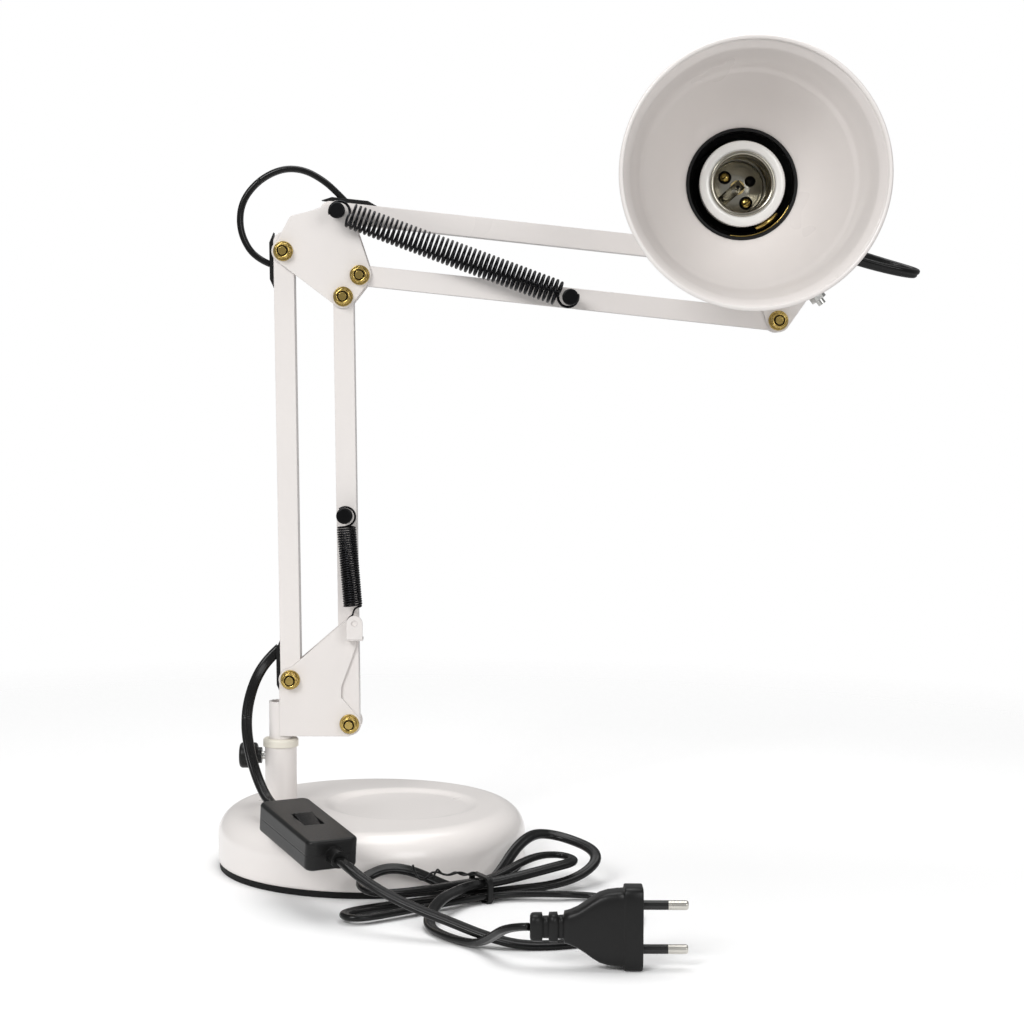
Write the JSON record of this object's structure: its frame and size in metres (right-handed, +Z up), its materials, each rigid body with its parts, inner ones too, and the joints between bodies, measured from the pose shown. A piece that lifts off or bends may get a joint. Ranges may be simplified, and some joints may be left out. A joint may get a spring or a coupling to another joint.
{
  "type": "articulated table lamp",
  "caption": "White spring-balanced table lamp with a parallel-bar arm on a round weighted base, a bell shade with a screw socket, and a cord with a rocker switch and flat plug.",
  "frame": {"origin": "centre of the round base's underside", "axes": "+Z up, +X from the post towards the shade, -Y out of the shade's mouth"},
  "size_m": [0.36, 0.2861, 0.4012],
  "materials": {
    "white_paint": "gloss white powder coat",
    "black_rubber": "matt black",
    "cast_weight": "rough cast",
    "zinc_steel": "zinc plated",
    "yellow_zinc": "yellow zinc plated",
    "cream_nylon": "cream nylon",
    "black_plastic": "satin black",
    "black_pin": "black oxide",
    "black_spring": "black oxide wire",
    "black_cord": "black sheath",
    "porcelain": null,
    "nickel": "nickel plated",
    "contact_brass": "plain brass"
  },
  "bodies": {
    "base": {"base_shell": "white_paint", "base_foot": "black_rubber", "base_weight": "cast_weight", "post_tube": "white_paint", "post_plug": "zinc_steel", "post_bolt": "zinc_steel", "collar_bush": "cream_nylon", "arm_cord": "black_cord", "switch_lower": "black_plastic", "switch_upper": "black_plastic", "switch_terminals": "contact_brass", "switch_cord": "black_cord", "cord_hank": "black_cord", "plug_cord": "black_cord", "cord_tie": "black_plastic", "plug_body": "black_plastic", "plug_pins": "nickel"},
    "clamp": {"clamp_knob": "black_plastic", "clamp_screw": "zinc_steel"},
    "rocker": {"switch_rocker": "black_plastic"},
    "swivel": {"lower_bracket": "white_paint", "lower_pivot_bolts": "yellow_zinc"},
    "rear_bar": {"rear_bar": "white_paint", "rear_bar_sleeves": "cream_nylon", "rear_bar_grommets": "black_plastic", "rear_bar_lead": "black_cord"},
    "front_bar": {"front_bar": "white_paint", "front_bar_sleeves": "cream_nylon", "lower_spring_pin": "black_pin", "lower_spring": "black_spring"},
    "elbow": {"elbow_front_plate": "white_paint", "elbow_back_plate": "white_paint", "elbow_bolts": "yellow_zinc", "elbow_spring_pin": "black_pin", "upper_spring": "black_spring", "elbow_lead": "black_cord"},
    "top_bar": {"top_bar": "white_paint", "top_bar_sleeves": "cream_nylon", "top_bar_grommets": "black_plastic", "top_bar_lead": "black_cord"},
    "bottom_bar": {"bottom_bar": "white_paint", "bottom_bar_sleeves": "cream_nylon", "upper_spring_pin": "black_pin"},
    "head": {"head_bracket": "white_paint", "head_bolts": "yellow_zinc", "head_lead": "black_cord"},
    "stem": {"swivel_stem": "zinc_steel", "swivel_nut": "zinc_steel"},
    "shade": {"shade_bell": "white_paint", "shade_neck": "black_plastic", "neck_gland": "black_plastic", "neck_lug": "zinc_steel", "tilt_bolt": "zinc_steel", "socket_body": "porcelain", "screw_shell": "nickel", "centre_contact": "contact_brass", "socket_strap": "yellow_zinc", "socket_screws": "contact_brass"}
  },
  "joints": [
    {"name": "base_swivel", "type": "hinge", "parent": "base", "child": "swivel", "pos_m": [-0.046, 0, 0.059], "axis": [0, 0, 1], "range_deg": [-170, 170], "deforming": ["arm_cord"]},
    {"name": "lower_arm", "type": "hinge", "parent": "swivel", "child": "rear_bar", "pos_m": [-0.0405, 0, 0.0933], "axis": [0, 1, 0], "range_deg": [-25, 45], "deforming": ["lower_spring", "elbow_lead", "arm_cord"]},
    {"name": "elbow_level", "type": "hinge", "parent": "rear_bar", "child": "elbow", "pos_m": [-0.04321, 0, 0.30628], "axis": [0, 1, 0], "range_deg": [-45, 25], "deforming": ["elbow_lead"]},
    {"name": "front_bar_pivot", "type": "hinge", "parent": "swivel", "child": "front_bar", "pos_m": [-0.011, 0, 0.0711], "axis": [0, 1, 0], "range_deg": [-25, 45], "deforming": ["lower_spring"]},
    {"name": "upper_arm", "type": "hinge", "parent": "elbow", "child": "top_bar", "pos_m": [-0.01581, 0, 0.32548], "axis": [0, -1, 0], "range_deg": [-6, 60], "deforming": ["upper_spring", "elbow_lead", "head_lead"]},
    {"name": "head_level", "type": "hinge", "parent": "top_bar", "child": "head", "pos_m": [0.19106, 0, 0.30385], "axis": [0, -1, 0], "range_deg": [-60, 6], "deforming": ["head_lead"]},
    {"name": "bottom_bar_pivot", "type": "hinge", "parent": "elbow", "child": "bottom_bar", "pos_m": [-0.00551, 0, 0.29468], "axis": [0, -1, 0], "range_deg": [-6, 60], "deforming": ["upper_spring"]},
    {"name": "shade_swivel", "type": "hinge", "parent": "head", "child": "stem", "pos_m": [0.18106, 0, 0.33865], "axis": [0.6004, 0, -0.7997], "range_deg": [-9, 12], "deforming": ["head_lead"]},
    {"name": "shade_tilt", "type": "hinge", "parent": "stem", "child": "shade", "pos_m": [0.19997, 0, 0.31346], "axis": [0.7996, -0.0105, 0.6004], "range_deg": [-30, 30], "deforming": ["head_lead"]},
    {"name": "clamp_turn", "type": "hinge", "parent": "base", "child": "clamp", "pos_m": [-0.046, 0, 0.054], "axis": [-1, 0, 0], "range_deg": [0, 340]},
    {"name": "rocker_tilt", "type": "hinge", "parent": "base", "child": "rocker", "pos_m": [-0.02433, -0.08832, 0.03678], "axis": [-0.8829, -0.4695, 0], "range_deg": [0, 22]}
  ],
  "couplings": [
    {"joint": "elbow_level", "follows": "lower_arm", "ratio": -1},
    {"joint": "front_bar_pivot", "follows": "lower_arm", "ratio": 1},
    {"joint": "head_level", "follows": "upper_arm", "ratio": -1},
    {"joint": "bottom_bar_pivot", "follows": "upper_arm", "ratio": 1}
  ]
}
